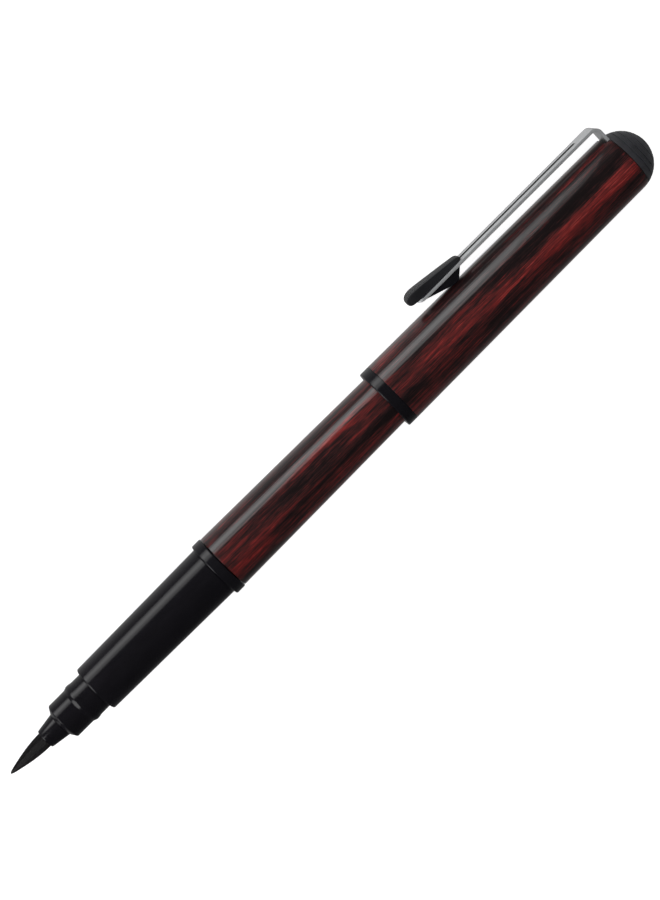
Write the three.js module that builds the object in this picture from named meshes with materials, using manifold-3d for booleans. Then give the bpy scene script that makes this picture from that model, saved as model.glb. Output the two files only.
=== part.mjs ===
// A pocket brush pen with its cap pushed on the rear of the barrel, lying on a table.
// Millimetres, +Z up. The pen's axis lies along X: the brush tip is at -X and the domed end at +X,
// and the clip points to +Y. The origin is the middle of the footprint, on the table.
// A place along the pen is a "station": its distance from the brush tip.
import * as THREE from 'three';
import { mergeVertices } from 'three/addons/utils/BufferGeometryUtils.js';
import Module from 'manifold-3d';

const wasm = await Module();
wasm.setup();

// ---- driving dimensions: lengths along the pen ----
const PEN_LENGTH = 168.0;
const TUFT_LENGTH = 9.2;          // bristles in front of the ferrule
const NOSE_FRONT = 13.28;         // front face of the nose sleeve
const GRIP_FRONT = 22.48;         // front edge of the grip section
const COLLAR_FRONT = 53.95;
const COLLAR_END = 56.12;
const BARREL_FRONT = 56.25;
const BARREL_END = 128.0;         // hidden in the cap
const CAP_MOUTH = 99.0;
const MOUTH_RING_END = 101.2;
const CAP_TUBE_END = 162.9;
const THREAD_PITCH = 1.2;
const THREAD_RINGS = 3;

// ---- driving dimensions: radii about the pen's axis ----
const TUFT_RADIUS = 1.63;
const NOSE_RADIUS = 3.96;
const GRIP_FRONT_RADIUS = 5.03;
const GRIP_END_RADIUS = 5.41;
const COLLAR_RADIUS = 6.11;
const BARREL_FRONT_RADIUS = 5.92;
const BARREL_END_RADIUS = 5.19;
const CAP_RADIUS = 6.64;          // at the mouth, the fattest round part
const CAP_TAIL_RADIUS = 6.23;     // where the tube meets the ball of the domed end
const CAP_WALL = 0.75;
const CARTRIDGE_RADIUS = 4.0;
const THREAD_CREST = 4.25;        // male thread on the section's spigot
const THREAD_DEPTH = 0.25;
const THREAD_PLAY = 0.1;

// ---- driving dimensions: the clip, with heights measured from the pen's axis ----
const STRAP_INNER = 8.56;
const STRAP_THICKNESS = 0.6;
const STRAP_WIDTH = 5.4;
const SLOT_WIDTH = 1.2;
const SLOT_FRONT = 118.4;
const SLOT_END = 158.2;
const LEG_REAR = 162.95;
const BEND_RADIUS = 1.5;          // outside of the bend
const FLEX_GAP = 0.3;             // the arm flexes just in front of its bend
const BEAD_FRONT = 114.55;
const BEAD_END = 127.75;
const BEAD_WIDTH = 5.5;           // near its nose
const BEAD_END_WIDTH = 3.8;
const BEAD_TOP = 11.35;
const FOOT_WIDTH = 3.2;

// ---- fits and facets ----
const FIT = 0.1;                  // between two pieces that are seated on each other
const ROUND = 32;                 // facets round an outer piece
const INNER_ROUND = 24;           // facets round a piece inside

// ---- derived sizes ----
const STRAP_OUTER = STRAP_INNER + STRAP_THICKNESS;
const THREAD_ROOT = THREAD_CREST - THREAD_DEPTH;
const DOME_CENTRE = PEN_LENGTH - CAP_TAIL_RADIUS;
const BEND_CENTRE = [LEG_REAR - BEND_RADIUS, STRAP_OUTER - BEND_RADIUS];
const ARM_END = BEND_CENTRE[0] - FLEX_GAP;

const black = plastic(0x121013, 0.22);
const dull = plastic(0x1a191c, 0.55);
const clear = plastic(0xb9bcc0, 0.45);
const lacquer = plastic(0x3b1214, 0.18);
const bristle = plastic(0x0c0a0c, 0.6);
const felt = plastic(0xd8d4c8, 0.95);
const rubber = plastic(0x202022, 0.85);
const steel = new THREE.MeshStandardMaterial({ color: 0xb4b6b8, roughness: 0.28, metalness: 1 });

function plastic(color, roughness) {
  return new THREE.MeshStandardMaterial({ color, roughness, metalness: 0 });
}

// ---- shape helpers ----

// A solid turned about the pen's axis. Points are [station, radius]. The outside runs from front to
// rear, and a bore runs back from rear to front.
function turned(points, facets = ROUND) {
  const profile = points.map(([station, radius]) => new THREE.Vector2(radius, station));
  return new THREE.LatheGeometry(profile, facets).rotateZ(-Math.PI / 2);
}

// A turned piece with a hole right through it.
function sleeve(outside, bore, facets = ROUND) {
  return turned([...outside, ...bore, outside[0]], facets);
}

// Points of an arc in a profile, from one angle to another. Angle 0 points to the rear, 90 outwards.
function arc(station, radius, size, from, to, steps) {
  return Array.from({ length: steps + 1 }, (_, i) => {
    const angle = THREE.MathUtils.degToRad(from + ((to - from) * i) / steps);
    return [station + size * Math.cos(angle), radius + size * Math.sin(angle)];
  });
}

// A side view in station and height, given a width across the pen.
function plate(outline, width) {
  const shape = new THREE.Shape(outline.map(([station, height]) => new THREE.Vector2(station, height)));
  const geometry = new THREE.ExtrudeGeometry(shape, { depth: width, bevelEnabled: false });
  return geometry.translate(0, 0, -width / 2);
}

// A box between two corners, [station, height, across].
function block(low, high) {
  const size = high.map((value, i) => value - low[i]);
  const middle = high.map((value, i) => (value + low[i]) / 2);
  return new THREE.BoxGeometry(...size).translate(...middle);
}

// ---- joining and cutting ----

function solid(geometry) {
  const bare = geometry.clone();
  bare.deleteAttribute('normal');
  bare.deleteAttribute('uv');
  const merged = mergeVertices(bare, 1e-4);
  const corners = merged.index.array;
  const kept = [];
  for (let i = 0; i < corners.length; i += 3) {
    const [a, b, c] = corners.slice(i, i + 3);
    if (a !== b && b !== c && c !== a) {
      kept.push(a, b, c);
    }
  }
  const vertProperties = merged.attributes.position.array;
  return new wasm.Manifold(new wasm.Mesh({ numProp: 3, vertProperties, triVerts: new Uint32Array(kept) }));
}

function geometryOf(body) {
  const mesh = body.getMesh();
  const geometry = new THREE.BufferGeometry();
  geometry.setAttribute('position', new THREE.BufferAttribute(mesh.vertProperties, 3));
  geometry.setIndex(new THREE.BufferAttribute(mesh.triVerts, 1));
  geometry.computeVertexNormals();
  return geometry;
}

function cut(geometry, ...tools) {
  return geometryOf(tools.reduce((body, tool) => body.subtract(solid(tool)), solid(geometry)));
}

function joined(...geometries) {
  return geometryOf(geometries.map(solid).reduce((body, other) => body.add(other)));
}

// ---- sizes that follow a taper ----

function between(station, from, to, fromValue, toValue) {
  return fromValue + ((toValue - fromValue) * (station - from)) / (to - from);
}

function barrelRadius(station) {
  return between(station, BARREL_FRONT, BARREL_END, BARREL_FRONT_RADIUS, BARREL_END_RADIUS);
}

function capRadius(station) {
  return between(station, MOUTH_RING_END, DOME_CENTRE, CAP_RADIUS, CAP_TAIL_RADIUS);
}

function capBore(station) {
  return capRadius(station) - CAP_WALL;
}

// A point of the ball that closes the pen's rear end.
function ballRadius(station) {
  return Math.sqrt(Math.max(0, CAP_TAIL_RADIUS ** 2 - (station - DOME_CENTRE) ** 2));
}

// Ring ridges that stand for a screw thread: crests at one radius, roots at another.
function threadProfile(front, crest, root) {
  const points = [];
  for (let ring = 0; ring < THREAD_RINGS; ring += 1) {
    const start = front + ring * THREAD_PITCH;
    points.push([start, root], [start + THREAD_PITCH * 0.4, crest], [start + THREAD_PITCH * 0.6, crest]);
  }
  return points;
}

// ---- brush head ----

// The radius of the tuft at a station: a small round point and a full belly.
function tuftRadius(station) {
  const pointSize = 0.2;
  const fullness = 0.1 + 0.9 * (station / TUFT_LENGTH) ** 1.04;
  return TUFT_RADIUS * Math.sin((Math.PI / 2) * fullness) * (1 - Math.exp(-station / pointSize));
}

// The bristles in front of the ferrule. The heel is round about the place where the tuft bends, so that
// it can bend without meeting the ferrule.
function tuftBristles() {
  const belly = 7.9;
  const stations = [0.01, 0.03, 0.08, 0.18, 0.32, 0.5, 0.75, 1].map((share) => belly * share);
  const side = stations.map((station) => [station, tuftRadius(station)]);
  return turned([[0, 0], ...side, [8.5, 1.25], [8.8, 0.7], [8.9, 0]], INNER_ROUND);
}

// The glued root of the bristles, with the fused heel that stops it from pulling out.
function tuftBase() {
  return turned([[9.5, 0], [9.5, 1.45], [14.0, 1.45], [14.0, 1.9], [15.0, 1.9], [15.0, 0]], INNER_ROUND);
}

function brushFerrule() {
  const outside = [[TUFT_LENGTH, 1.88], [9.34, 2.02], [NOSE_FRONT - 0.1, 2.62], [NOSE_FRONT, 2.5]];
  outside.push([17.0, 2.5], [17.0, 3.1], [18.2, 3.1]);
  const bore = [[18.2, 2.05], [13.8, 2.05], [13.8, 1.68], [TUFT_LENGTH, 1.68]];
  return sleeve(outside, bore, INNER_ROUND);
}

// The stepped nose that carries the ferrule. Its raised ring snaps into the inner cap.
function noseSleeve() {
  const outside = [[NOSE_FRONT, 2.85], [13.67, 3.46], [14.04, 3.9], [14.15, NOSE_RADIUS]];
  outside.push([18.05, NOSE_RADIUS], [18.7, 4.21], [18.95, 4.26], [19.25, 4.25], [19.9, 4.13]);
  outside.push([20.6, 4.1], [22.3, 4.09], [22.3, 3.98], [30.5, 3.98]);
  const bore = [[30.5, 3.3], [14.7, 3.3], [14.7, 2.72], [NOSE_FRONT, 2.72]];
  return sleeve(outside, bore);
}

// ---- ink supply ----

// The finned core that stores ink between the cartridge and the tuft.
function feedCore() {
  const outside = [[18.5, 2.6]];
  for (let fin = 0; fin < 5; fin += 1) {
    const start = 20.0 + fin * 5.2;
    outside.push([start, 2.6], [start, 3.1], [start + 2.6, 3.1], [start + 2.6, 2.6]);
  }
  outside.push([46.2, 2.6]);
  return sleeve(outside, [[46.2, 0.85], [18.5, 0.85]], 16);
}

function inkWick() {
  return turned([[15.2, 0], [15.2, 0.68], [60.0, 0.68], [60.0, 0]], 12);
}

// The tube that opens the cartridge and leads its ink to the feed.
function cartridgeNipple() {
  const outside = [[46.4, 3.15], [48.0, 3.15], [48.0, 1.6], [62.6, 1.5], [63.8, 1.15]];
  return sleeve(outside, [[63.8, 0.9], [46.4, 0.9]], INNER_ROUND);
}

function cartridgeBody() {
  const outside = [[58.0, 2.6], [58.4, 2.9], [64.6, 2.9], [66.0, CARTRIDGE_RADIUS]];
  outside.push([110.6, CARTRIDGE_RADIUS], [111.6, 3.5], [112.0, 2.4], [112.0, 0]);
  const inside = [[111.0, 0], [111.0, 2.2], [110.2, 3.4], [66.6, 3.4], [65.0, 2.35], [60.2, 2.35]];
  inside.push([60.2, 2.2], [58.0, 2.2]);
  return turned([...inside, ...outside], INNER_ROUND);
}

// The soft ring in the cartridge's mouth that grips the nipple.
function cartridgeMouthSeal() {
  return sleeve([[58.15, 2.1], [60.0, 2.1]], [[60.0, 1.68], [58.15, 1.68]], INNER_ROUND);
}

// The ball that closed the cartridge until the nipple pushed it in. It lies on the bore's floor.
function cartridgeBall() {
  const radius = 1.5;
  return new THREE.SphereGeometry(radius, 16, 10).translate(68.6, 0, radius + FIT - 3.4);
}

// ---- grip and barrel ----

// The section that the fingers hold, with the threaded spigot that carries the barrel.
function gripSection() {
  const end = COLLAR_FRONT - FIT;
  const outside = [[GRIP_FRONT, 4.6], [22.55, 4.84], [22.75, 4.99], [23.0, GRIP_FRONT_RADIUS]];
  outside.push([end, GRIP_END_RADIUS], [end, THREAD_CREST], [56.8, THREAD_CREST]);
  outside.push([57.4, THREAD_ROOT]);
  outside.push(...threadProfile(57.8, THREAD_CREST, THREAD_ROOT), [63.4, THREAD_ROOT - 0.1]);
  const bore = [[63.4, 3.4], [31.0, 3.4], [31.0, 4.14], [GRIP_FRONT, 4.14]];
  return sleeve(outside, bore);
}

// The ring that is clamped between the section's shoulder and the barrel.
function collarRing() {
  const edge = arc(COLLAR_FRONT + 0.3, COLLAR_RADIUS - 0.3, 0.3, 180, 90, 3);
  const farEdge = arc(COLLAR_END - 0.3, COLLAR_RADIUS - 0.3, 0.3, 90, 0, 3);
  return sleeve([...edge, ...farEdge], [[COLLAR_END, 4.42], [COLLAR_FRONT, 4.42]]);
}

function barrelTube() {
  const front = BARREL_FRONT;
  const rear = BARREL_END;
  const outside = [[front, barrelRadius(front) - 0.12], [front + 0.15, barrelRadius(front)]];
  outside.push([rear - 0.5, barrelRadius(rear)], [rear, barrelRadius(rear) - 0.4]);
  const bore = [[rear, 4.5], [67.2, 4.5], [67.2, 4.95], [front, 4.95]];
  return sleeve(outside, bore);
}

// The threaded bush glued in the barrel's front end.
function barrelThreadBush() {
  const crest = THREAD_CREST + THREAD_PLAY;
  const root = crest + THREAD_DEPTH;
  const ridges = threadProfile(57.9, crest, root).reverse();
  const bore = [[67.0, root], ...ridges, [56.5, root]];
  return sleeve([[56.5, 4.86], [67.0, 4.86]], bore, INNER_ROUND);
}

function barrelEndPlug() {
  const outside = [[123.6, 0], [123.6, 3.6], [124.0, 4.38], [128.05, 4.38], [128.05, 4.62]];
  return turned([...outside, [128.6, 4.4], [128.8, 3.6], [128.8, 0]], INNER_ROUND);
}

// ---- cap ----

// The black ring that is flush with the tube, with a skirt inside the tube.
function capMouthRing() {
  const seam = MOUTH_RING_END - FIT / 2;
  const lip = [[CAP_MOUTH + 0.15, 5.72], [CAP_MOUTH, 5.86], [CAP_MOUTH, 6.44], [CAP_MOUTH + 0.1, 6.58]];
  const outside = [...lip, [CAP_MOUTH + 0.3, CAP_RADIUS], [seam, CAP_RADIUS], [seam, 5.78], [105.8, 5.78]];
  return sleeve(outside, [[105.8, 5.6], [CAP_MOUTH + 0.4, 5.6]]);
}

// The long tube. Its end turns in along the ball of the domed end, and a notch there lets the clip in.
function capTube() {
  const front = MOUTH_RING_END;
  const outside = [[front, capRadius(front) - 0.02], [DOME_CENTRE, CAP_TAIL_RADIUS]];
  outside.push([162.4, ballRadius(162.4)], [CAP_TUBE_END, ballRadius(CAP_TUBE_END)]);
  const bore = [[CAP_TUBE_END, capBore(DOME_CENTRE)], [front, capBore(front)]];
  const halfNotch = STRAP_WIDTH / 2 + 0.3;
  const notch = block([LEG_REAR - 1.3, 4.0, -halfNotch], [CAP_TUBE_END + 1, 7.5, halfNotch]);
  return cut(sleeve(outside, bore), notch);
}

// The cup inside the cap that seals round the nose sleeve and keeps the tuft wet.
function innerCap() {
  const outside = [[131.0, 5.1], [131.4, 5.5], [133.0, 5.5], [133.4, 5.25], [156.75, 5.25], [156.75, 0]];
  const inside = [[155.75, 0], [155.75, 3.9], [154.95, 4.3], [132.0, 4.3], [131.0, 4.7]];
  return turned([...inside, ...outside], ROUND);
}

// The plug fixed in the tube's tail. The screw pulls the clip and the dome against it.
function clipAnchorPlug() {
  const outside = [[157.05, 5.0], [157.35, 5.3], [161.95, 5.3]];
  return sleeve(outside, [[161.95, 1.3], [159.05, 1.3], [159.05, 2.4], [157.05, 2.4]], INNER_ROUND);
}

function finialScrew() {
  const outside = [[157.35, 0], [157.35, 2.1], [158.85, 2.1], [158.85, 1.1], [165.25, 1.1]];
  return turned([...outside, [165.55, 0.8], [165.55, 0]], 16);
}

// The black domed end, with three fine grooves round it.
function domeCap() {
  const front = CAP_TUBE_END + FIT;
  const points = [[165.85, 0], [165.85, 1.25], [front, 1.25], [front, ballRadius(front)]];
  const halfGroove = 0.12;
  for (const floor of [164.18, 165.16, 166.32]) {
    const rise = floor - halfGroove;
    const fall = floor + halfGroove;
    points.push([rise, ballRadius(rise)], [floor, ballRadius(floor) - 0.15], [fall, ballRadius(fall)]);
  }
  points.push([167.1, ballRadius(167.1)], [167.75, ballRadius(167.75)], [PEN_LENGTH, 0]);
  return turned(points);
}

// ---- clip ----

// The fixed end of the clip: the bend, the leg that drops into the cap, and the eye for the screw.
function clipLeg() {
  const inside = arc(...BEND_CENTRE, BEND_RADIUS - STRAP_THICKNESS, 0, 90, 4);
  const outside = arc(...BEND_CENTRE, BEND_RADIUS, 90, 0, 5);
  const bend = plate([...inside, ...outside], STRAP_WIDTH);
  const eye = new THREE.Shape();
  const half = STRAP_WIDTH / 2;
  eye.moveTo(-half, BEND_CENTRE[1] + 0.01);
  eye.lineTo(-half, 0);
  eye.absarc(0, -half * 0.3, half, Math.PI, 2 * Math.PI, false);
  eye.lineTo(half, BEND_CENTRE[1] + 0.01);
  const hole = new THREE.Path().absarc(0, 0, 1.3, 0, 2 * Math.PI, true);
  eye.holes.push(hole);
  const settings = { depth: STRAP_THICKNESS, bevelEnabled: false, curveSegments: 8 };
  const leg = new THREE.ExtrudeGeometry(eye, settings).rotateY(Math.PI / 2);
  leg.translate(LEG_REAR - STRAP_THICKNESS, 0, 0);
  return joined(bend, leg);
}

// The springy arm: two rails either side of a long slot. Its front end curls up round the bead's nose,
// and the head under the bead is a little thinner than the rails.
function clipArm() {
  const seat = 0.06;
  const headEnd = BEAD_END + 0.2;
  const curl = [BEAD_FRONT + 2.9, STRAP_INNER + seat + 2.4];
  const under = arc(...curl, 2.4, 270, 236, 3);
  const over = arc(...curl, 2.4 + seat - STRAP_THICKNESS, 236, 270, 3);
  const outline = [[ARM_END, STRAP_INNER], [ARM_END, STRAP_OUTER], [headEnd, STRAP_OUTER]];
  outline.push(...over.reverse(), ...under.reverse());
  outline.push([headEnd, STRAP_INNER + seat], [headEnd, STRAP_INNER]);
  const arm = plate(outline, STRAP_WIDTH);
  const halfSlot = SLOT_WIDTH / 2;
  return cut(arm, block([SLOT_FRONT, 8, -halfSlot], [SLOT_END, 10, halfSlot]));
}

// The moulded bead on the arm: its side view and its top view cut to each other, with a rib that goes
// down through the slot.
function clipBead() {
  const seat = STRAP_OUTER + FIT;
  const sideView = [[BEAD_END - 0.3, seat], [BEAD_END, 9.6], [127.05, 10.02], [116.95, BEAD_TOP]];
  sideView.push([115.95, 11.2], [114.85, 10.5], [BEAD_FRONT, 9.95], [114.95, 9.5], [115.95, 9.8]);
  sideView.push([117.75, seat]);
  const topView = new THREE.Shape();
  const rear = BEAD_END_WIDTH / 2;
  topView.moveTo(BEAD_FRONT + BEAD_WIDTH / 2, -BEAD_WIDTH / 2);
  topView.lineTo(BEAD_END - 0.8, -rear);
  topView.lineTo(BEAD_END, -rear + 0.8);
  topView.lineTo(BEAD_END, rear - 0.8);
  topView.lineTo(BEAD_END - 0.8, rear);
  topView.lineTo(BEAD_FRONT + BEAD_WIDTH / 2, BEAD_WIDTH / 2);
  topView.absarc(BEAD_FRONT + BEAD_WIDTH / 2, 0, BEAD_WIDTH / 2, Math.PI / 2, (3 * Math.PI) / 2, false);
  const column = new THREE.ExtrudeGeometry(topView, { depth: 4, bevelEnabled: false, curveSegments: 10 });
  column.rotateX(-Math.PI / 2).translate(0, 8.5, 0);
  const halfRib = SLOT_WIDTH / 2 - FIT;
  const rib = block([119.0, STRAP_INNER + 0.1, -halfRib], [126.4, seat + 0.6, halfRib]);
  const body = solid(plate(sideView.reverse(), BEAD_WIDTH + 1)).intersect(solid(column));
  return geometryOf(body.add(solid(rib)));
}

// The wedge under the arm that presses the cloth of a pocket against the cap.
function clipFoot() {
  const top = STRAP_INNER - 0.04;
  const low = capRadius(124.2) + 0.08;
  const outline = [[117.2, top], [123.5, low], [124.5, low], [126.75, top]];
  return plate(outline, FOOT_WIDTH);
}

// ---- the assembly ----

function piece(name, geometry, material) {
  const mesh = new THREE.Mesh(geometry, material);
  mesh.name = name;
  return mesh;
}

// Heights above the axis are drawn along Y, which is where the clip points.
const section = new THREE.Group().add(
  piece('tuft_bristles', tuftBristles(), bristle),
  piece('tuft_base', tuftBase(), bristle),
  piece('brush_ferrule', brushFerrule(), black),
  piece('nose_sleeve', noseSleeve(), black),
  piece('feed_core', feedCore(), clear),
  piece('ink_wick', inkWick(), felt),
  piece('cartridge_nipple', cartridgeNipple(), black),
  piece('grip_section', gripSection(), black),
);

const cartridge = new THREE.Group().add(
  piece('cartridge_body', cartridgeBody(), clear),
  piece('cartridge_mouth_seal', cartridgeMouthSeal(), rubber),
  piece('cartridge_ball', cartridgeBall(), steel),
);

const barrel = new THREE.Group().add(
  piece('collar_ring', collarRing(), black),
  piece('barrel_tube', barrelTube(), lacquer),
  piece('barrel_thread_bush', barrelThreadBush(), black),
  piece('barrel_end_plug', barrelEndPlug(), black),
);

const cap = new THREE.Group().add(
  piece('cap_mouth_ring', capMouthRing(), black),
  piece('cap_tube', capTube(), lacquer),
  piece('inner_cap', innerCap(), dull),
  piece('clip_anchor_plug', clipAnchorPlug(), dull),
  piece('finial_screw', finialScrew(), steel),
  piece('dome_cap', domeCap(), dull),
  piece('clip_leg', clipLeg(), steel),
);

const clip = new THREE.Group().add(
  piece('clip_arm', clipArm(), steel),
  piece('clip_bead', clipBead(), black),
  piece('clip_foot', clipFoot(), black),
);

const pen = new THREE.Group().add(section, cartridge, barrel, cap, clip);

// The pen lies on its cap mouth, and the middle of its footprint is the origin.
const footprintMiddle = (BEAD_TOP - CAP_RADIUS) / 2;
pen.position.set(-PEN_LENGTH / 2, -footprintMiddle, CAP_RADIUS);

export default pen;
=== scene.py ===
"""A pocket brush pen with its cap on the rear, on a white table under soft studio light."""
import math
import random

import bmesh
import bpy
import numpy as np
from mathutils import Matrix, Vector


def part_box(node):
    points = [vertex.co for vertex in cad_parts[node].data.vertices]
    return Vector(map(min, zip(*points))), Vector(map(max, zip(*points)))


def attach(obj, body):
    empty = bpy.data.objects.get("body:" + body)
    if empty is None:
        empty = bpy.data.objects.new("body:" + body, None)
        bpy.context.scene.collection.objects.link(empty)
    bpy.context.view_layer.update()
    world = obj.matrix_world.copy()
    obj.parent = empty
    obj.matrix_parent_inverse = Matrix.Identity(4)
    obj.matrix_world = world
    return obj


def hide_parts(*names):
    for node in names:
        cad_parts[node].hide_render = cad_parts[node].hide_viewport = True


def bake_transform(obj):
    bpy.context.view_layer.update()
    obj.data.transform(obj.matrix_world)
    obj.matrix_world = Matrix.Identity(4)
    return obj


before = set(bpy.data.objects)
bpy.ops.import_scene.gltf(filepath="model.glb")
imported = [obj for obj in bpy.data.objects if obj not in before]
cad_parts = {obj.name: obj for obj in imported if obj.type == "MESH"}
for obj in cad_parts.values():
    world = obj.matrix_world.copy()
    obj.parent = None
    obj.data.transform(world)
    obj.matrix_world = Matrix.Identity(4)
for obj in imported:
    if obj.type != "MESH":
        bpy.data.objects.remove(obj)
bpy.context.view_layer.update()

MM = 0.001
TIP_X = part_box("tuft_bristles")[0][0]
GRIP_LOW, GRIP_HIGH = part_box("grip_section")
AXIS_Y = (GRIP_LOW[1] + GRIP_HIGH[1]) / 2
AXIS_Z = (GRIP_LOW[2] + GRIP_HIGH[2]) / 2


# ---- places: a station is a distance from the brush tip, in millimetres ----

def place(station, toward_clip=0.0, up=0.0):
    """A point in the row frame, from a station and two distances off the axis, in millimetres."""
    return Vector((TIP_X + station * MM, AXIS_Y + toward_clip * MM, AXIS_Z + up * MM))


def around(station, radius, angle):
    """A point at an angle round the axis, measured from straight up towards the clip."""
    return place(station, radius * math.sin(angle), radius * math.cos(angle))


def station_of(x):
    return (x - TIP_X) / MM


def front(node):
    return station_of(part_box(node)[0][0])


def rear(node):
    return station_of(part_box(node)[1][0])


def reach(node):
    """How far a round node reaches from the axis."""
    return (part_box(node)[1][2] - AXIS_Z) / MM


PEN_LENGTH = rear("dome_cap")
TUFT_LENGTH = front("brush_ferrule")
TUFT_RADIUS = 1.63
GRIP_FRONT = front("grip_section")
COLLAR_FRONT = front("collar_ring")
COLLAR_REAR = rear("collar_ring")
BARREL_FRONT = front("barrel_tube")
BARREL_REAR = rear("barrel_tube")
BARREL_RADIUS = reach("barrel_tube")
BARREL_REAR_RADIUS = 5.19
CAP_MOUTH = front("cap_mouth_ring")
CAP_RADIUS = reach("cap_mouth_ring")
TUBE_FRONT = front("cap_tube")
TUBE_REAR = rear("cap_tube")
TAIL_RADIUS = 6.23
BALL_CENTRE = PEN_LENGTH - TAIL_RADIUS
STRAP_INNER = 8.56
STRAP_THICKNESS = 0.6
STRAP_WIDTH = 5.4
SLOT_WIDTH = 1.2
BEND_RADIUS = 1.5
EYE_RADIUS = 3.2
EYE_HOLE_RADIUS = 1.3
SLOT_FRONT = 118.4
SLOT_REAR = 158.2
BEAD_FRONT = front("clip_bead")


# ---- materials ----

def shader(name, **sockets):
    """A new material with one Principled shader, and the tools to add nodes to it."""
    material = bpy.data.materials.new(name)
    material.use_nodes = True
    tree = material.node_tree
    principled = tree.nodes["Principled BSDF"]
    for socket, value in sockets.items():
        principled.inputs[socket.replace("_", " ")].default_value = value
    return material, tree, principled


def add(tree, kind, settings=None, **inputs):
    """A node with its properties set and its inputs linked or filled. An input goes by its name, or by its
    number after an underscore."""
    node = tree.nodes.new(kind)
    for key, value in (settings or {}).items():
        setattr(node, key, value)
    for key, value in inputs.items():
        socket = node.inputs[int(key[1:])] if key[1:].isdigit() else node.inputs[key.replace("_", " ")]
        if isinstance(value, bpy.types.NodeSocket):
            tree.links.new(value, socket)
        else:
            socket.default_value = value
    return node


def maths(tree, operation, a, b=0.0):
    return add(tree, "ShaderNodeMath", {"operation": operation}, _0=a, _1=b).outputs[0]


def pen_coordinates(tree):
    """Station, distance toward the clip and height off the axis, in millimetres."""
    where = add(tree, "ShaderNodeTexCoord").outputs["Object"]
    moved = add(tree, "ShaderNodeVectorMath", {"operation": "SUBTRACT"}, _0=where, _1=place(0))
    scaled = add(tree, "ShaderNodeVectorMath", {"operation": "SCALE"}, _0=moved.outputs[0], Scale=1 / MM)
    return scaled.outputs[0]


def noise(tree, vector, stretch, scale, detail=3.0, rough=0.55, distortion=0.0):
    """Noise on coordinates that are first stretched along each axis."""
    fitted = add(tree, "ShaderNodeVectorMath", {"operation": "MULTIPLY"}, _0=vector, _1=stretch)
    node = add(tree, "ShaderNodeTexNoise", Vector=fitted.outputs[0], Scale=scale, Detail=detail,
               Roughness=rough, Distortion=distortion)
    return node.outputs["Fac"]


def ramp(tree, value, stops):
    """A straight colour ramp: each stop is (place, colour)."""
    node = add(tree, "ShaderNodeValToRGB", Fac=value)
    elements = node.color_ramp.elements
    for element in list(elements)[1:]:
        elements.remove(element)
    elements[0].position, elements[0].color = stops[0][0], (*stops[0][1], 1)
    for at, colour in stops[1:]:
        elements.new(at).color = (*colour, 1)
    node.color_ramp.interpolation = "LINEAR"
    return node.outputs["Color"]


def grey(level):
    return (level, level, level)


def bump(tree, principled, height, strength, distance):
    node = add(tree, "ShaderNodeBump", Height=height, Strength=strength, Distance=distance)
    tree.links.new(node.outputs[0], principled.inputs["Normal"])


# Where the red heartwood and the dark wood lie: station, degrees round the axis from straight up towards
# the clip, half length in mm, half width in degrees, and how much redder (or darker) than the rest.
RED_ZONES = (
    (146, -5, 16, 12, 0.42), (160, 0, 8, 16, 0.22), (113, 16, 11, 15, 0.17), (104, 66, 9, 11, 0.20),
    (106, -62, 20, 16, 0.05), (118, 6, 16, 9, 0.10), (129, -2, 7, 5, 0.24), (157, 58, 8, 9, 0.18),
    (60, -20, 10, 12, 0.34), (58, 15, 6, 6, 0.30), (89, 33, 14, 8, 0.34), (92, 5, 6, 5, 0.20),
    (96, -40, 16, 14, 0.14), (74, 33, 6, 6, 0.20), (66, -4, 8, 5, 0.16),
)
DARK_ZONES = (
    (148, 22, 17, 9, 0.40), (104, -10, 6, 8, 0.20), (128, -38, 10, 9, 0.22), (118, 44, 26, 9, 0.22),
    (151, 44, 16, 10, 0.20), (82, -6, 13, 7, 0.14), (74, 17, 6, 5, 0.26), (98, -12, 5, 7, 0.30),
    (66, 45, 12, 12, 0.24), (131, 68, 22, 16, 0.10), (84, 62, 24, 12, 0.14), (58, -52, 10, 10, 0.28),
)


def zones(tree, station, degrees, rows):
    """The sum of soft oval patches."""
    total = None
    for at, angle, half_length, half_width, strength in rows:
        along = maths(tree, "DIVIDE", maths(tree, "SUBTRACT", station, at), half_length)
        across = maths(tree, "DIVIDE", maths(tree, "SUBTRACT", degrees, angle), half_width)
        squares = maths(tree, "ADD", maths(tree, "MULTIPLY", along, along),
                        maths(tree, "MULTIPLY", across, across))
        falloff = maths(tree, "EXPONENT", maths(tree, "MULTIPLY", squares, -1))
        patch = maths(tree, "MULTIPLY", falloff, strength)
        total = patch if total is None else maths(tree, "ADD", total, patch)
    return total


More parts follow.
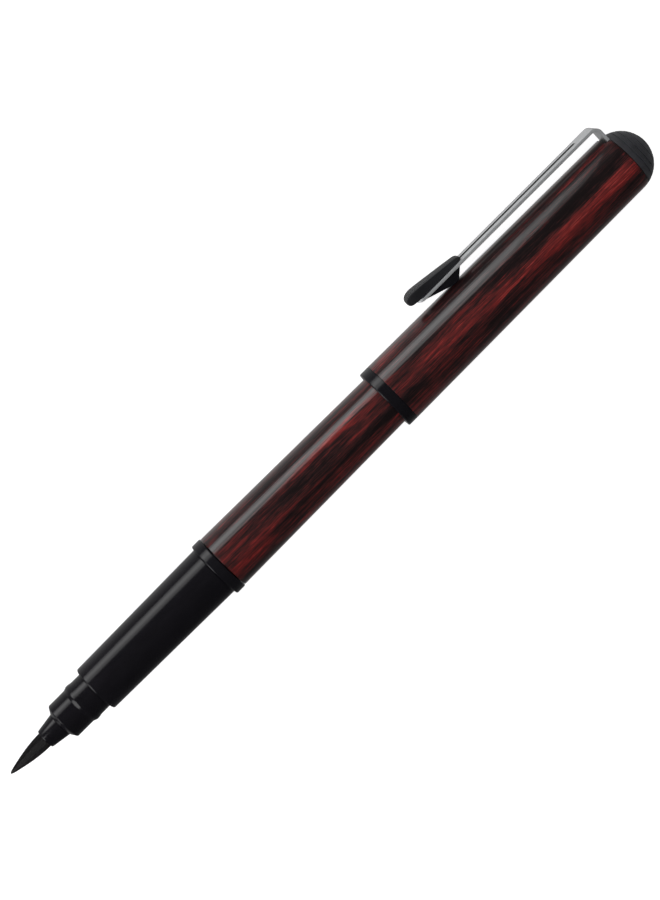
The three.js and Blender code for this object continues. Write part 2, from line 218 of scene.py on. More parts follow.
def grain_lacquer():
    """Dark wood with red heartwood under clear gloss lacquer."""
    material, tree, principled = shader(
        "grain_lacquer", Roughness=0.32, Coat_Weight=1.0, Coat_Roughness=0.04, Coat_IOR=1.5,
        Specular_IOR_Level=0.15)
    where = pen_coordinates(tree)
    parts = add(tree, "ShaderNodeSeparateXYZ", _0=where)
    station, toward_clip, up = parts.outputs
    waver = noise(tree, where, (0.05, 0.6, 0.6), 1.0, 2.0)
    turn = maths(tree, "ARCTAN2", toward_clip, up)
    degrees = maths(tree, "ADD", maths(tree, "MULTIPLY", turn, 180 / math.pi),
                    maths(tree, "MULTIPLY", maths(tree, "SUBTRACT", waver, 0.5), 26))
    red = zones(tree, station, degrees, RED_ZONES)
    dark = zones(tree, station, degrees, DARK_ZONES)
    broad = noise(tree, where, (0.035, 0.45, 0.45), 1.0, 2.0, 0.5)
    streaks = noise(tree, where, (0.07, 1.5, 1.5), 1.3, 4.0, 0.62, 0.25)
    fibres = noise(tree, where, (0.16, 6.0, 6.0), 1.0, 3.0, 0.6)
    threads = noise(tree, where, (0.45, 13.0, 13.0), 1.0, 2.0, 0.6)
    level = maths(tree, "ADD", 0.285, maths(tree, "SUBTRACT", red, dark))
    for texture, weight in ((broad, 0.4), (streaks, 1.2), (fibres, 1.1), (threads, 1.3)):
        swing = maths(tree, "SUBTRACT", texture, 0.5)
        level = maths(tree, "ADD", level, maths(tree, "MULTIPLY", swing, weight))
    colour = ramp(tree, level, (
        (0.0, (0.009, 0.006, 0.0065)), (0.22, (0.021, 0.011, 0.0115)), (0.42, (0.062, 0.015, 0.015)),
        (0.62, (0.15, 0.018, 0.018)), (0.82, (0.28, 0.025, 0.023)), (1.0, (0.42, 0.06, 0.05))))
    tree.links.new(colour, principled.inputs["Base Color"])
    bump(tree, principled, streaks, 0.05, 0.00002)
    return material


def moulded(name, colour, roughness, grain=0.35, shine=0.5):
    """Moulded plastic: faint flow marks and a fine surface grain."""
    material, tree, principled = shader(name, Specular_IOR_Level=shine)
    where = pen_coordinates(tree)
    flow = noise(tree, where, (0.15, 0.8, 0.8), 1.0, 3.0)
    fine = noise(tree, where, (1.0, 1.0, 1.0), 9.0, 2.0)
    lighter = tuple(min(1, value * 1.35 + 0.0008) for value in colour)
    tree.links.new(ramp(tree, flow, ((0.3, colour), (0.75, lighter))), principled.inputs["Base Color"])
    low, high = max(0.03, roughness - 0.05), roughness + 0.07
    tree.links.new(ramp(tree, fine, ((0.3, grey(low)), (0.7, grey(high)))), principled.inputs["Roughness"])
    bump(tree, principled, fine, grain, 0.000012)
    return material


def spring_steel():
    """Stamped steel strip, brushed along its length, with shade painted as a near-black colour on the walls of
    its slot.
    """
    material, tree, principled = shader("clip_steel", Metallic=0.55)
    where = pen_coordinates(tree)
    brushing = noise(tree, where, (0.12, 7.0, 7.0), 1.6, 3.0)
    blotch = noise(tree, where, (0.5, 0.5, 0.5), 1.0, 2.0)
    tint = ramp(tree, brushing, ((0.25, (0.50, 0.51, 0.52)), (0.75, (0.68, 0.69, 0.70))))
    station, _, up = add(tree, "ShaderNodeSeparateXYZ", _0=where).outputs
    # Painted shade: the walls inside the slot get a near-black base colour that stands in for the shadow
    # between the rails.
    slot_shade_mask = maths(tree, "LESS_THAN", maths(tree, "ABSOLUTE", up), SLOT_WIDTH / 2 + 0.03)
    slot_shade_mask = maths(tree, "MULTIPLY", slot_shade_mask, maths(tree, "LESS_THAN", station, SLOT_REAR - 0.2))
    slot_shade_mask = maths(tree, "MULTIPLY", slot_shade_mask, maths(tree, "GREATER_THAN", station, SLOT_FRONT))
    shade = add(tree, "ShaderNodeMix", {"data_type": "RGBA"}, _0=slot_shade_mask, _6=tint, _7=(0.02, 0.02, 0.02, 1))
    tree.links.new(shade.outputs[2], principled.inputs["Base Color"])
    mixed = maths(tree, "ADD", maths(tree, "MULTIPLY", brushing, 0.16), maths(tree, "MULTIPLY", blotch, 0.08))
    tree.links.new(maths(tree, "ADD", mixed, 0.2), principled.inputs["Roughness"])
    bump(tree, principled, brushing, 0.25, 0.00001)
    return material


def turned_steel():
    material, tree, principled = shader("ball_steel", Metallic=1.0)
    where = pen_coordinates(tree)
    marks = noise(tree, where, (6.0, 0.6, 0.6), 2.0, 3.0)
    tint = ramp(tree, marks, ((0.3, (0.40, 0.41, 0.42)), (0.7, (0.58, 0.59, 0.60))))
    tree.links.new(tint, principled.inputs["Base Color"])
    tree.links.new(ramp(tree, marks, ((0.3, grey(0.2)), (0.7, grey(0.34)))), principled.inputs["Roughness"])
    bump(tree, principled, marks, 0.3, 0.00001)
    return material


def bristle_fibre():
    """Black synthetic fibre, damp with ink: streaks along each fibre."""
    material, tree, principled = shader("bristle", Sheen_Weight=0.15, Sheen_Roughness=0.5)
    where = pen_coordinates(tree)
    strands = noise(tree, where, (0.5, 14.0, 14.0), 1.0, 3.0)
    shades = ((0.3, (0.004, 0.0035, 0.004)), (0.7, (0.014, 0.012, 0.013)))
    tree.links.new(ramp(tree, strands, shades), principled.inputs["Base Color"])
    tree.links.new(ramp(tree, strands, ((0.3, grey(0.38)), (0.7, grey(0.6)))), principled.inputs["Roughness"])
    bump(tree, principled, strands, 0.5, 0.00003)
    return material


def milky_plastic():
    """Translucent moulded plastic, stained grey where the ink has been."""
    material, tree, principled = shader("clear_plastic", Subsurface_Weight=0.3, Subsurface_Scale=0.001)
    where = pen_coordinates(tree)
    stain = noise(tree, where, (0.2, 0.5, 0.5), 1.0, 4.0)
    shades = ((0.35, (0.11, 0.12, 0.14)), (0.62, (0.50, 0.52, 0.55)))
    tree.links.new(ramp(tree, stain, shades), principled.inputs["Base Color"])
    tree.links.new(ramp(tree, stain, ((0.3, grey(0.25)), (0.7, grey(0.4)))), principled.inputs["Roughness"])
    bump(tree, principled, stain, 0.2, 0.00002)
    return material


def felt_rod():
    material, tree, principled = shader("felt", Sheen_Weight=0.4)
    where = pen_coordinates(tree)
    threads = noise(tree, where, (0.8, 9.0, 9.0), 1.0, 4.0)
    shades = ((0.3, (0.07, 0.07, 0.08)), (0.7, (0.42, 0.41, 0.38)))
    tree.links.new(ramp(tree, threads, shades), principled.inputs["Base Color"])
    tree.links.new(ramp(tree, threads, ((0.3, grey(0.8)), (0.7, grey(1.0)))), principled.inputs["Roughness"])
    bump(tree, principled, threads, 0.8, 0.00008)
    return material


LACQUER = grain_lacquer()
GLOSS_BLACK = moulded("gloss_black", (0.0065, 0.0060, 0.0078), 0.14, grain=0.15, shine=0.38)
BEAD_BLACK = moulded("bead_black", (0.015, 0.015, 0.0165), 0.24, grain=0.3, shine=0.03)
DULL_BLACK = moulded("dull_black", (0.033, 0.033, 0.038), 0.46, grain=0.5)
CLEAR = milky_plastic()
STEEL = spring_steel()
PLAIN_STEEL = turned_steel()
BRISTLE = bristle_fibre()
FELT = felt_rod()
RUBBER = moulded("seal_rubber", (0.012, 0.012, 0.013), 0.75, grain=0.7)


# ---- mesh helpers ----

def new_piece(name, vertices, faces, material, crease_degrees=32):
    """A mesh object with smooth shading, sharp only where its faces meet at more than the given angle."""
    mesh = bpy.data.meshes.new(name)
    mesh.from_pydata([tuple(v) for v in vertices], [], faces)
    body = bmesh.new()
    body.from_mesh(mesh)
    bmesh.ops.remove_doubles(body, verts=body.verts, dist=1e-8)
    bmesh.ops.recalc_face_normals(body, faces=body.faces)
    body.to_mesh(mesh)
    body.free()
    mesh.shade_smooth()
    mesh.set_sharp_from_angle(angle=math.radians(crease_degrees))
    mesh.materials.append(material)
    piece = bpy.data.objects.new(name, mesh)
    bpy.context.collection.objects.link(piece)
    return piece


def applied(piece, crease_degrees=32):
    """The same piece with its modifiers made part of its mesh."""
    bpy.context.view_layer.update()
    graph = bpy.context.evaluated_depsgraph_get()
    mesh = bpy.data.meshes.new_from_object(piece.evaluated_get(graph))
    piece.modifiers.clear()
    piece.data = mesh
    mesh.shade_smooth()
    mesh.set_sharp_from_angle(angle=math.radians(crease_degrees))
    return piece


def modifier(piece, kind, **settings):
    made = piece.modifiers.new(kind.lower(), kind)
    for key, value in settings.items():
        setattr(made, key, value)
    return made


def belongs(piece, body, slot, *nodes):
    """Says which body the piece rides on and which CAD nodes it stands for; the slot is not used."""
    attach(piece, body)
    if nodes:
        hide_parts(*nodes)
    return piece


def walls(rings, sides, first=0, closed=False):
    """Four-sided faces between rings of points, from the first point's number on. A closed stack joins its
    last ring to its first."""
    faces = []
    for ring in range(rings if closed else rings - 1):
        low, high = first + ring * sides, first + (ring + 1) % rings * sides
        for side in range(sides):
            following = (side + 1) % sides
            faces.append((low + side, low + following, high + following, high + side))
    return faces


def filleted(points, steps=4):
    """A closed outline in which each point with a third value, a radius, is rounded off by that much."""
    smooth = []
    count = len(points)
    for i, point in enumerate(points):
        size = point[2] if len(point) > 2 else 0
        if size == 0:
            smooth.append(point[:2])
            continue
        corner = Vector(point[:2])
        before = Vector(points[i - 1][:2]) - corner
        after = Vector(points[(i + 1) % count][:2]) - corner
        start = corner + before.normalized() * min(size, before.length / 2)
        end = corner + after.normalized() * min(size, after.length / 2)
        for step in range(steps + 1):
            t = step / steps
            smooth.append(tuple(start * (1 - t) ** 2 + corner * 2 * t * (1 - t) + end * t ** 2))
    return smooth


def turned(name, outline, material, sides=96):
    """A piece turned about the pen's axis from an outline of (station, radius, fillet) points."""
    points = filleted(outline)
    vertices = [around(station, radius, 2 * math.pi * side / sides)
                for station, radius in points for side in range(sides)]
    return new_piece(name, vertices, walls(len(points), sides, closed=True), material)


def solid_turned(name, outline, material, sides=96):
    """A turned piece whose outline starts and ends on the axis."""
    hair = 0.002
    lifted = [(point[0], max(point[1], hair), *point[2:]) for point in outline]
    return turned(name, lifted, material, sides)


def taper(station, start, end, at_start, at_end):
    return at_start + (at_end - at_start) * (station - start) / (end - start)


def barrel_radius(station):
    return taper(station, BARREL_FRONT, BARREL_REAR, BARREL_RADIUS, BARREL_REAR_RADIUS)


def cap_radius(station):
    return taper(station, TUBE_FRONT, BALL_CENTRE, CAP_RADIUS, TAIL_RADIUS)


def ball_radius(station):
    return math.sqrt(max(0.0, TAIL_RADIUS ** 2 - (station - BALL_CENTRE) ** 2))


# ---- the brush head ----

def tuft_radius(station):
    fullness = 0.1 + 0.9 * (station / TUFT_LENGTH) ** 1.04
    return TUFT_RADIUS * math.sin(math.pi / 2 * fullness) * (1 - math.exp(-station / 0.2))


def tuft():
    """A bundle of fine fibres over a dark core, drawn to a point by the ink."""
    chance = random.Random(7)
    vertices, faces = [], []
    root = TUFT_LENGTH + 0.25
    rings = 22
    core_sides = 36
    fibres = 620
    for ring in range(rings + 1):
        station = root * (ring / rings) ** 1.2
        radius = max(0.004, 0.93 * tuft_radius(min(station, TUFT_LENGTH)))
        for side in range(core_sides):
            vertices.append(around(station, radius, 2 * math.pi * side / core_sides))
    faces += walls(rings + 1, core_sides)
    faces.append(tuple(range(core_sides)))
    faces.append(tuple(rings * core_sides + side for side in reversed(range(core_sides))))
    for _ in range(fibres):
        add_fibre(vertices, faces, chance, root)
    piece = new_piece("tuft", vertices, faces, BRISTLE, 60)
    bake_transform(piece)
    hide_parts("tuft_bristles")


def add_fibre(vertices, faces, chance, root):
    """One tapered fibre that lies on the tuft and ends near its tip."""
    thick = chance.uniform(0.022, 0.036)
    heading = chance.uniform(0, 2 * math.pi)
    tip = abs(chance.gauss(0, 0.9)) + 0.02
    depth = chance.uniform(0.95, 0.985)
    sweep = chance.gauss(0, 0.05)
    steps = 9
    first = len(vertices)
    for step in range(steps + 1):
        share = step / steps
        station = tip + (root - tip) * share
        angle = heading + sweep * (1 - share) ** 2
        radius = max(0.0, tuft_radius(min(station, TUFT_LENGTH)) * depth - thick * 0.3)
        size = thick * min(1.0, 0.15 + 2.2 * share)
        for corner in range(3):
            turn = 2 * math.pi * corner / 3
            r = radius + size * math.cos(turn)
            a = angle + size * math.sin(turn) / max(radius, 0.05)
            vertices.append(around(station, r, a))
    faces += walls(steps + 1, 3, first)
    faces.append((first + 2, first + 1, first))
    last = first + steps * 3
    faces.append((last, last + 1, last + 2))


def brush_head():
    base = solid_turned("tuft_base", ((9.6, 0), (9.6, 1.45), (14.0, 1.45), (14.0, 1.9, 0.1), (15.0, 1.9, 0.1),
                                      (15.0, 0)), BRISTLE, 48)
    belongs(base, "section", "bristle", "tuft_base")
    mouth = TUFT_LENGTH
    ferrule = turned("brush_ferrule", (
        (mouth, 1.68, 0.05), (mouth, 2.01, 0.22), (13.18, 2.61, 0.08), (13.28, 2.5), (17.0, 2.5),
        (17.0, 3.1, 0.1), (18.2, 3.1, 0.1), (18.2, 2.05), (13.8, 2.05), (13.8, 1.68)), GLOSS_BLACK)
    belongs(ferrule, "section", "gloss_black", "brush_ferrule")
    start = front("nose_sleeve")
    nose = turned("nose_sleeve", (
        (start, 2.7, 0.05), (start, 2.82, 0.05), (14.0, 3.96, 0.16), (18.05, 3.96, 0.12), (18.75, 4.25, 0.2),
        (19.3, 4.26, 0.3), (19.95, 4.11, 0.2), (22.3, 4.09), (22.3, 3.98), (30.5, 3.98), (30.5, 3.3),
        (14.7, 3.3), (14.7, 2.7)), GLOSS_BLACK)
    belongs(nose, "section", "gloss_black", "nose_sleeve")


# ---- ink supply ----

def ink_supply():
    fins = [(18.5, 2.6, 0.1)]
    for fin in range(13):
        start = 19.6 + fin * 2.0
        fins += [(start, 2.3), (start, 3.1, 0.08), (start + 1.1, 3.1, 0.08), (start + 1.1, 2.3)]
    feed = turned("feed_core", (*fins, (46.2, 2.3), (46.2, 0.85), (18.5, 0.85)), CLEAR, 64)
    belongs(feed, "section", "clear_plastic", "feed_core")
    wick = solid_turned("ink_wick", ((15.2, 0), (15.2, 0.68, 0.15), (60.0, 0.68, 0.15), (60.0, 0)), FELT, 32)
    belongs(wick, "section", "felt", "ink_wick")
    nipple = turned("cartridge_nipple", (
        (46.4, 3.15, 0.1), (48.0, 3.15, 0.1), (48.0, 1.6, 0.2), (62.6, 1.5, 0.1), (63.8, 1.15, 0.05),
        (63.8, 0.9), (46.4, 0.9)), GLOSS_BLACK, 64)
    belongs(nipple, "section", "gloss_black", "cartridge_nipple")
    cartridge = solid_turned("cartridge_body", (
        (111.0, 0), (111.0, 2.2), (110.2, 3.4, 0.5), (66.6, 3.4, 0.5), (65.0, 2.35, 0.3), (60.2, 2.35),
        (60.2, 2.2), (58.0, 2.2), (58.0, 2.6, 0.1), (58.4, 2.9, 0.2), (64.6, 2.9, 0.4), (66.0, 3.98, 0.5),
        (67.6, 4.0), (67.8, 3.9, 0.1), (68.2, 3.9, 0.1), (68.4, 4.0), (110.4, 4.0, 1.0), (111.9, 2.6, 0.6),
        (112.0, 0)), CLEAR, 72)
    belongs(cartridge, "cartridge", "clear_plastic", "cartridge_body")
    seal = turned("cartridge_mouth_seal", (
        (58.15, 2.1, 0.1), (60.0, 2.1, 0.1), (60.0, 1.68, 0.2), (59.1, 1.64, 0.3), (58.15, 1.68, 0.1)),
        RUBBER, 64)
    belongs(seal, "cartridge", "seal_rubber", "cartridge_mouth_seal")
    belongs(ball(), "ball", "ball_steel", "cartridge_ball")


def ball():
    """A round ball, made from a cube that is divided and pushed out to the sphere."""
    low, high = (Vector(corner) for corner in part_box("cartridge_ball"))
    centre = (low + high) / 2
    radius = (high.z - low.z) / 2
    body = bmesh.new()
    bmesh.ops.create_cube(body, size=2.0)
    bmesh.ops.subdivide_edges(body, edges=body.edges[:], cuts=11, use_grid_fill=True)
    vertices = [centre + vertex.co.normalized() * radius for vertex in body.verts]
    faces = [tuple(corner.index for corner in face.verts) for face in body.faces]
    body.free()
    return new_piece("cartridge_ball", vertices, faces, PLAIN_STEEL)


# ---- grip and barrel ----

def helix_ridge(name, start, turns, pitch, root, crest, width, material):
    """A screw ridge: a small pointed profile wound round the axis, fading in and out at its ends. Its foot is
    sunk a little into the wall that it stands on."""
    steps_per_turn = 56
    total = int(turns * steps_per_turn)
    sunk = math.copysign(0.03, root - crest)
    vertices = []
    for step in range(total + 1):
        angle = 2 * math.pi * step / steps_per_turn
        middle = start + pitch * step / steps_per_turn
        fade = min(1.0, step / 14, (total - step) / 14)
        peak = root + (crest - root) * fade
        for offset, radius in ((-width / 2, root), (-width / 8, peak), (width / 8, peak), (width / 2, root)):
            if radius == root:
                radius += sunk
            vertices.append(around(middle + offset, radius, angle))
    last = total * 4
    faces = [*walls(total + 1, 4), (0, 1, 2, 3), (last + 3, last + 2, last + 1, last)]
    return new_piece(name, vertices, faces, material)


def grip():
    section = turned("grip_section", (
        (GRIP_FRONT, 4.14, 0.05), (GRIP_FRONT, 5.03, 0.38), (COLLAR_FRONT - 0.1, 5.41, 0.05),
        (COLLAR_FRONT - 0.1, 4.25), (56.8, 4.25, 0.1), (57.2, 4.0, 0.1), (63.4, 4.0, 0.3), (63.4, 3.4, 0.1),
        (31.0, 3.4), (31.0, 4.14)), GLOSS_BLACK, 128)
    belongs(section, "section", "gloss_black", "grip_section")
    thread = helix_ridge("grip_thread", 57.9, 3.6, 1.2, 4.0, 4.24, 0.85, GLOSS_BLACK)
    belongs(thread, "section", "gloss_black")
    collar = turned("collar_ring", (
        (COLLAR_FRONT, 4.42), (COLLAR_FRONT, reach("collar_ring"), 0.3),
        (COLLAR_REAR, reach("collar_ring"), 0.3), (COLLAR_REAR, 4.42)),
        GLOSS_BLACK, 128)
    belongs(collar, "collar", "gloss_black", "collar_ring")


def barrel():
    start, end = BARREL_FRONT, BARREL_REAR
    tube = turned("barrel_tube", (
        (start, 4.95, 0.05), (start, barrel_radius(start), 0.14), *(
            (station, barrel_radius(station)) for station in range(60, 128, 4)),
        (end, barrel_radius(end), 0.4), (end, 4.5), (67.2, 4.5), (67.2, 4.95)), LACQUER, 128)
    belongs(tube, "barrel", "grain_lacquer", "barrel_tube")
    bush = turned("barrel_thread_bush", (
        (56.5, 4.6, 0.1), (56.5, 4.86, 0.1), (67.0, 4.86, 0.1), (67.0, 4.6, 0.1)), DULL_BLACK, 96)
    belongs(bush, "barrel", "dull_black", "barrel_thread_bush")
    thread = helix_ridge("bush_thread", 58.5, 3.6, 1.2, 4.6, 4.36, 0.85, DULL_BLACK)
    belongs(thread, "barrel", "dull_black")
    plug = solid_turned("barrel_end_plug", (
        (123.6, 0), (123.6, 3.6, 0.2), (124.0, 4.38, 0.1), (128.05, 4.38), (128.05, 4.62), (128.6, 4.5, 0.3),
        (128.8, 3.6, 0.2), (128.7, 1.2, 0.3), (128.3, 0.9, 0.2), (128.3, 0)), DULL_BLACK, 96)
    belongs(plug, "barrel", "dull_black", "barrel_end_plug")


# ---- cap ----

def cap():
    start, end = CAP_MOUTH, rear("cap_mouth_ring")
    flush = TUBE_FRONT - 0.05
    ring = turned("cap_mouth_ring", (
        (start + 0.35, 5.6, 0.1), (start + 0.02, 5.84, 0.12), (start, CAP_RADIUS, 0.3),
        (flush, CAP_RADIUS, 0.04), (flush, 5.78), (end, 5.78, 0.1), (end, 5.6)), GLOSS_BLACK, 128)
    belongs(ring, "cap", "gloss_black", "cap_mouth_ring")
    belongs(cap_tube(), "cap", "grain_lacquer", "cap_tube")
    cup = solid_turned("inner_cap", (
        (155.75, 0), (155.75, 3.9), (154.95, 4.3, 0.5), (132.0, 4.3, 0.5), (131.0, 4.7, 0.2), (131.0, 5.2, 0.2),
        (131.4, 5.5, 0.2), (133.0, 5.5, 0.2), (133.4, 5.25, 0.2), (156.75, 5.25, 0.4), (156.75, 0)),
        DULL_BLACK, 96)
    belongs(cup, "cap", "dull_black", "inner_cap")
    plug = turned("clip_anchor_plug", (
        (157.05, 5.0, 0.1), (157.35, 5.3, 0.1), (161.95, 5.3, 0.1), (161.95, 1.3), (159.05, 1.3), (159.05, 2.4),
        (157.05, 2.4)), DULL_BLACK, 64)
    belongs(plug, "cap", "dull_black", "clip_anchor_plug")
    screw = solid_turned("finial_screw", (
        (157.65, 0), (157.65, 0.9), (157.35, 1.0, 0.1), (157.35, 2.1, 0.2), (158.85, 2.1, 0.1),
        (158.85, 1.1, 0.1), (165.25, 1.1, 0.2), (165.55, 0.8, 0.1), (165.55, 0)), PLAIN_STEEL, 64)
    belongs(screw, "cap", "ball_steel", "finial_screw")
    belongs(dome(), "cap", "dull_black", "dome_cap")


def cap_tube():
    """The lacquered tube, with the notch that lets the clip's leg in."""
    start, end = TUBE_FRONT, TUBE_REAR
    tail = [BALL_CENTRE + share * (end - BALL_CENTRE) for share in (0.25, 0.5, 0.75)]
    tube = turned("cap_tube", (
        (start, cap_radius(start) - 0.78), (start, cap_radius(start), 0.05), *(
            (station, cap_radius(station)) for station in range(105, 161, 4)),
        *((station, ball_radius(station)) for station in (BALL_CENTRE, *tail)),
        (end, ball_radius(end), 0.06), (end, 5.48), (BALL_CENTRE, 5.48)), LACQUER, 128)
    notch_front, notch_half = 161.65, 2.8
    notch = box_piece("notch", place(notch_front, 4.0, -notch_half), place(end + 1, 7.5, notch_half))
    modifier(tube, "BOOLEAN", operation="DIFFERENCE", object=notch, solver="EXACT")
    applied(tube)
    bpy.data.objects.remove(notch)
    return tube


def box_piece(name, low, high):
    """A plain box, only used to cut another piece."""
    body = bmesh.new()
    bmesh.ops.create_cube(body, size=1.0)
    size = Matrix.Diagonal((*(high - low), 1))
    body.transform(Matrix.Translation((low + high) / 2) @ size)
    mesh = bpy.data.meshes.new(name)
    body.to_mesh(mesh)
    body.free()
    piece = bpy.data.objects.new(name, mesh)
    bpy.context.collection.objects.link(piece)
    return piece


def dome():
    """The satin black domed end, with fine steps turned in it."""
    start = front("dome_cap")
    outline = [(165.85, 0), (165.85, 1.25), (start, 1.25), (start, 5.3), (start, ball_radius(start), 0.05)]
    grooves = (164.18, 165.16, 166.32, 167.3)
    half, depth = 0.12, 0.2
    station = start + 0.3
    for groove in grooves:
        while station < groove - 0.15:
            outline.append((station, ball_radius(station)))
            station += 0.2
        lip, far = groove - half, groove + half
        outline += [(lip, ball_radius(lip), 0.03), (groove, ball_radius(groove) - depth, 0.03),
                    (far, ball_radius(far), 0.03)]
        station = groove + 0.22
    for angle in (16, 12, 8, 4):
        slope = math.radians(angle)
        outline.append((BALL_CENTRE + TAIL_RADIUS * math.cos(slope), TAIL_RADIUS * math.sin(slope)))
    outline.append((PEN_LENGTH, 0))
    return solid_turned("dome_cap", outline, DULL_BLACK, 128)


# ---- clip ----

def strip_path():
    """The middle line of the clip's strip, as (station, height) points from its eye to its front end."""
    half = STRAP_THICKNESS / 2
    leg = rear("clip_leg") - half
    arm = STRAP_INNER + half
    bend = BEND_RADIUS - half
    points = [(leg, height) for height in np.linspace(-EYE_RADIUS, arm - bend, 24)]
    points += [(leg - bend + bend * math.cos(a), arm - bend + bend * math.sin(a))
               for a in np.linspace(0, math.pi / 2, 13)[1:]]
    curl = 2.1
    curl_start = BEAD_FRONT + 2.9
    points += [(station, arm) for station in np.linspace(leg - bend, curl_start, 70)[1:]]
    points += [(curl_start - curl * math.sin(a), arm + curl * (1 - math.cos(a)))
               for a in np.linspace(0, math.radians(31), 9)[1:]]
    return points


def strip_edges(station, height):
    """Inner and outer half widths of the strip at a place on its middle line."""
    arm = STRAP_INNER + STRAP_THICKNESS / 2
    if height < arm - 0.3 and station > SLOT_REAR + 2:
        outer = STRAP_WIDTH / 2
        if height < 0:
            outer *= math.sqrt(max(0.0, 1 - (height / EYE_RADIUS) ** 2))
        hole = EYE_HOLE_RADIUS ** 2 - height ** 2
        return (math.sqrt(hole) if hole > 0 else 0.0), max(outer, 0.15)
    front_end = BEAD_FRONT + 1.7
    outer = STRAP_WIDTH / 2 * min(1.0, 0.62 + 0.38 * math.sqrt(max(0.0, station - front_end) / 1.6))
    inside = 0.0
    half_slot = SLOT_WIDTH / 2
    if SLOT_FRONT < station < SLOT_REAR:
        to_end = min(station - SLOT_FRONT, SLOT_REAR - station) / half_slot
        inside = half_slot * math.sqrt(1 - (1 - min(1.0, to_end)) ** 2)
    return inside, outer


def clip_strip():
    """One strip of spring steel: eye, leg, bend, two rails and curled front end."""
    columns = 4
    vertices, faces = [], []
    path = strip_path()
    for station, height in path:
        inner, outer = strip_edges(station, height)
        for side in (-1, 1):
            for column in range(columns + 1):
                across = inner + (outer - inner) * column / columns
                vertices.append(place(station, height, side * across))
    row = 2 * (columns + 1)
    for step in range(len(path) - 1):
        for side in range(2):
            for column in range(columns):
                low = step * row + side * (columns + 1) + column
                faces.append((low, low + 1, low + row + 1, low + row))
    strip = new_piece("clip_strip", vertices, faces, STEEL)
    modifier(strip, "SOLIDIFY", thickness=STRAP_THICKNESS * MM, offset=0.0, use_even_offset=True)
    modifier(strip, "BEVEL", width=0.09 * MM, segments=3, limit_method="ANGLE", angle_limit=math.radians(50))
    applied(strip, 40)
    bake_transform(strip)
    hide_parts("clip_leg", "clip_arm")


# The bead's sections: station, bottom half width, bottom height, edge half width, edge height, top height.
BEAD_SECTIONS = (
    (114.58, 0.9, 9.8, 0.8, 10.2, 10.25), (114.72, 1.75, 9.5, 1.6, 10.6, 10.66),
    (115.2, 2.4, 9.4, 2.25, 11.0, 11.07), (116.0, 2.72, 9.37, 2.6, 11.2, 11.28),
    (117.0, 2.82, 9.36, 2.72, 11.25, 11.33), (119.75, 2.7, 9.36, 2.46, 10.92, 11.0),
    (123.25, 2.45, 9.36, 2.13, 10.5, 10.58), (126.6, 2.2, 9.36, 1.8, 10.08, 10.15),
    (127.35, 2.1, 9.36, 1.72, 9.93, 9.99), (127.72, 1.9, 9.38, 1.56, 9.62, 9.66),
)


def bead():
    """The moulded bead, lofted through its sections and rounded by subdivision."""
    vertices, faces = [], []
    for station, bottom, low, edge, high, top in BEAD_SECTIONS:
        middle = (low + high) / 2
        belly = (bottom + edge) / 2 + 0.04
        seat = low - 0.14
        half = ((bottom * 0.5, seat), (bottom, low), (bottom, low + 0.1), (belly, middle), (edge, high),
                (edge * 0.5, top))
        section = [(0.0, seat), *half, (0.0, top), *((-x, y) for x, y in reversed(half))]
        vertices += [place(station, height, across) for across, height in section]
    count = 14
    last = (len(BEAD_SECTIONS) - 1) * count
    faces += walls(len(BEAD_SECTIONS), count)
    faces.append(tuple(range(count)))
    faces.append(tuple(last + corner for corner in reversed(range(count))))
    piece = new_piece("clip_bead", vertices, faces, BEAD_BLACK)
    # The corners of a section whose lines along the bead stay fairly sharp, and how sharp.
    crease = piece.data.attributes.new("crease_edge", "FLOAT", "EDGE")
    sharp_corners = {5: 0.5, 9: 0.5, 2: 0.55, 12: 0.55}
    for edge in piece.data.edges:
        a, b = (index % count for index in edge.vertices)
        if a == b and a in sharp_corners:
            crease.data[edge.index].value = sharp_corners[a]
    modifier(piece, "SUBSURF", levels=3, render_levels=3)
    applied(piece, 50)
    belongs(piece, "clip", "gloss_black", "clip_bead")


def foot():
    """The wedge under the arm: a long straight front, a small pad on the cap and a steep rear."""
    top = STRAP_INNER - 0.04
    low = cap_radius(124.2) + 0.08
    outline = [(117.2, top), (117.6, top - 0.12), (123.0, low + 0.1), (123.5, low), (124.5, low),
               (124.75, low + 0.08), (126.75, top)]
    half = 1.6  # of the wedge's width
    count = len(outline)
    vertices = [place(station, height, side * half) for side in (-1, 1) for station, height in outline]
    faces = [tuple(range(count)), tuple(count + corner for corner in reversed(range(count)))]
    faces += [(corner, (corner + 1) % count, count + (corner + 1) % count, count + corner)
              for corner in range(count)]
    piece = new_piece("clip_foot", vertices, faces, GLOSS_BLACK)
    modifier(piece, "BEVEL", width=0.22 * MM, segments=3, limit_method="ANGLE", angle_limit=math.radians(40))
    applied(piece, 40)
    belongs(piece, "clip", "gloss_black", "clip_foot")


# ---- table, light and camera ----

def white_table():
    """A plain white lit table."""
    size = 3.0
    mesh = bpy.data.meshes.new("table")
    corners = ((-size, -size, 0), (size, -size, 0), (size, size, 0), (-size, size, 0))
    mesh.from_pydata(corners, [], [(0, 1, 2, 3)])
    table = bpy.data.objects.new("table", mesh)
    bpy.context.collection.objects.link(table)
    material, _, _ = shader("white_table", Roughness=0.9, Base_Color=(0.8, 0.8, 0.8, 1), Specular_IOR_Level=0.0,
                            Emission_Color=(1, 1, 1, 1), Emission_Strength=0.8)
    mesh.materials.append(material)
    table.visible_glossy = False


def area_light(name, centre, toward, size, power, seen_in_gloss=True):
    data = bpy.data.lights.new(name, "AREA")
    data.shape = "RECTANGLE"
    data.size, data.size_y = size
    data.energy = power
    light = bpy.data.objects.new(name, data)
    light.location = centre
    light.rotation_mode = "QUATERNION"
    direction = (Vector(toward) - Vector(centre)).normalized()
    across = direction.cross(Vector((0, 0, 1))).normalized()
    upward = across.cross(direction)
    light.matrix_world = Matrix.Translation(centre) @ Matrix((
        (across.x, upward.x, -direction.x), (across.y, upward.y, -direction.y),
        (across.z, upward.z, -direction.z))).to_4x4()
    light.visible_glossy = seen_in_gloss
    bpy.context.collection.objects.link(light)


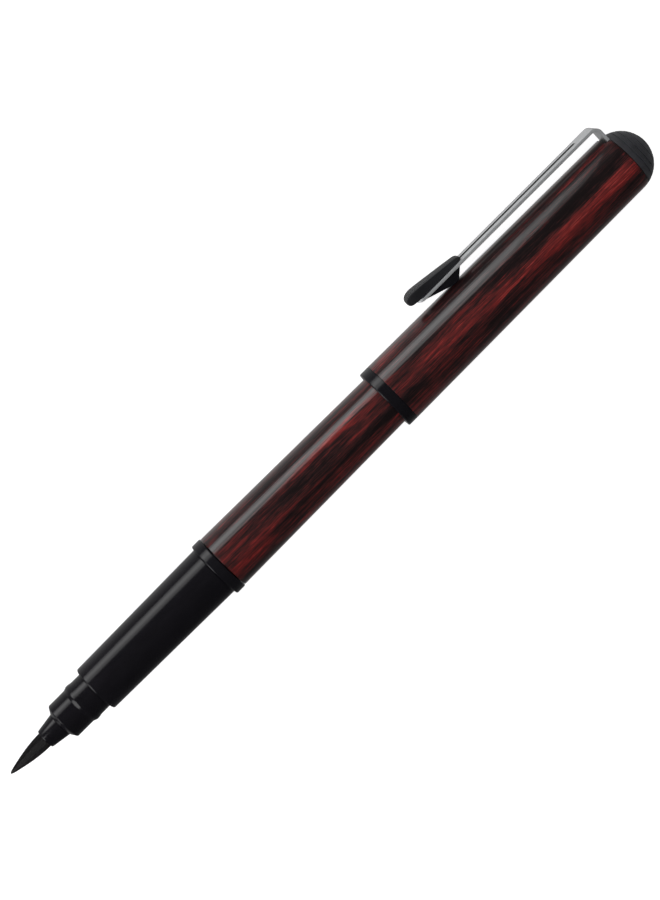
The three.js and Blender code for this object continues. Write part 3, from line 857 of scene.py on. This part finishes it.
# The long softbox stands beside the pen, on the clip's side. It is a few panels, one a little in front of the
# other, whose light adds up where they overlap: far end, low edge, high edge (in metres) and brightness.
SOFTBOX_PANELS = (
    (0.17, 0.0, 0.36, 0.55), (0.145, 0.0, 0.35, 0.45), (0.12, 0.01, 0.33, 0.55),
    (0.155, 0.07, 0.21, 0.65), (0.10, 0.08, 0.20, 0.65),
)
SOFTBOX_START = -0.32
SOFTBOX_ASIDE = 0.50
SOFTBOX_LAYER = 0.006


def studio_light():
    """A long low softbox on the clip's side, a smaller one past the tip, a broad overhead fill, and a world
    that is dark above, white behind the table, and as bright below as the table's reflection would be."""
    middle = place(PEN_LENGTH / 2)
    for layer, (end, low, high, brightness) in enumerate(SOFTBOX_PANELS):
        centre = Vector(((SOFTBOX_START + end) / 2, SOFTBOX_ASIDE - SOFTBOX_LAYER * layer, (low + high) / 2))
        size = (end - SOFTBOX_START, high - low)
        power = brightness * math.pi * size[0] * size[1]
        area_light("softbox", centre, centre - Vector((0, 0.5, 0)), size, power)
    area_light("tip_softbox", (-0.50, 0.17, 0.24), (-0.08, 0.0, 0.05), (0.36, 0.44), 1.3)
    area_light("fill", (0.0, 0.15, 1.1), middle, (1.4, 1.4), 8.0, seen_in_gloss=False)
    world = bpy.data.worlds.new("studio")
    bpy.context.scene.world = world
    world.use_nodes = True
    tree = world.node_tree
    heading = add(tree, "ShaderNodeTexCoord").outputs["Generated"]
    parts = add(tree, "ShaderNodeSeparateXYZ", _0=heading)
    below = maths(tree, "MAXIMUM", maths(tree, "MULTIPLY", parts.outputs[2], -1), 0)
    bounce = maths(tree, "ADD", maths(tree, "MULTIPLY", parts.outputs[1], 0.28), 0.38)
    level = maths(tree, "ADD", maths(tree, "MULTIPLY", below, bounce), 0.02)
    seen = add(tree, "ShaderNodeLightPath").outputs["Is Camera Ray"]
    level = maths(tree, "ADD", level, seen)
    tree.links.new(level, tree.nodes["Background"].inputs["Strength"])
    tree.nodes["Background"].inputs["Color"].default_value = (1, 1, 1, 1)


# The camera looks down on the pen's middle, a little from the clip's side.
CAMERA_DISTANCE = 0.465
LEAN_TO_CLIP = math.radians(13.0)
LEAN_ALONG = math.radians(-0.45)
PEN_SLANT = math.radians(44.98)
LENS = 99.2
AIM = (85.2, 0.64, 0.0)  # station, distance toward the clip and height off the axis


def add_camera():
    back = Vector((math.sin(LEAN_ALONG), math.cos(LEAN_ALONG) * math.sin(LEAN_TO_CLIP),
                   math.cos(LEAN_ALONG) * math.cos(LEAN_TO_CLIP)))
    along = (Vector((1, 0, 0)) - back * back.x).normalized()
    aside = back.cross(along)
    right = along * math.cos(PEN_SLANT) - aside * math.sin(PEN_SLANT)
    upward = along * math.sin(PEN_SLANT) + aside * math.cos(PEN_SLANT)
    data = bpy.data.cameras.new("camera")
    data.lens = LENS
    data.sensor_width = 36.0
    data.clip_start = 0.05
    camera = bpy.data.objects.new("camera", data)
    axes = Matrix((right, upward, back)).transposed().to_4x4()
    camera.matrix_world = Matrix.Translation(place(*AIM) + back * CAMERA_DISTANCE) @ axes
    bpy.context.collection.objects.link(camera)
    bpy.context.scene.camera = camera


# ---- put it together ----

tuft()
brush_head()
ink_supply()
grip()
barrel()
cap()
clip_strip()
bead()
foot()
white_table()
studio_light()
add_camera()
bpy.context.scene.view_settings.view_transform = "Standard"
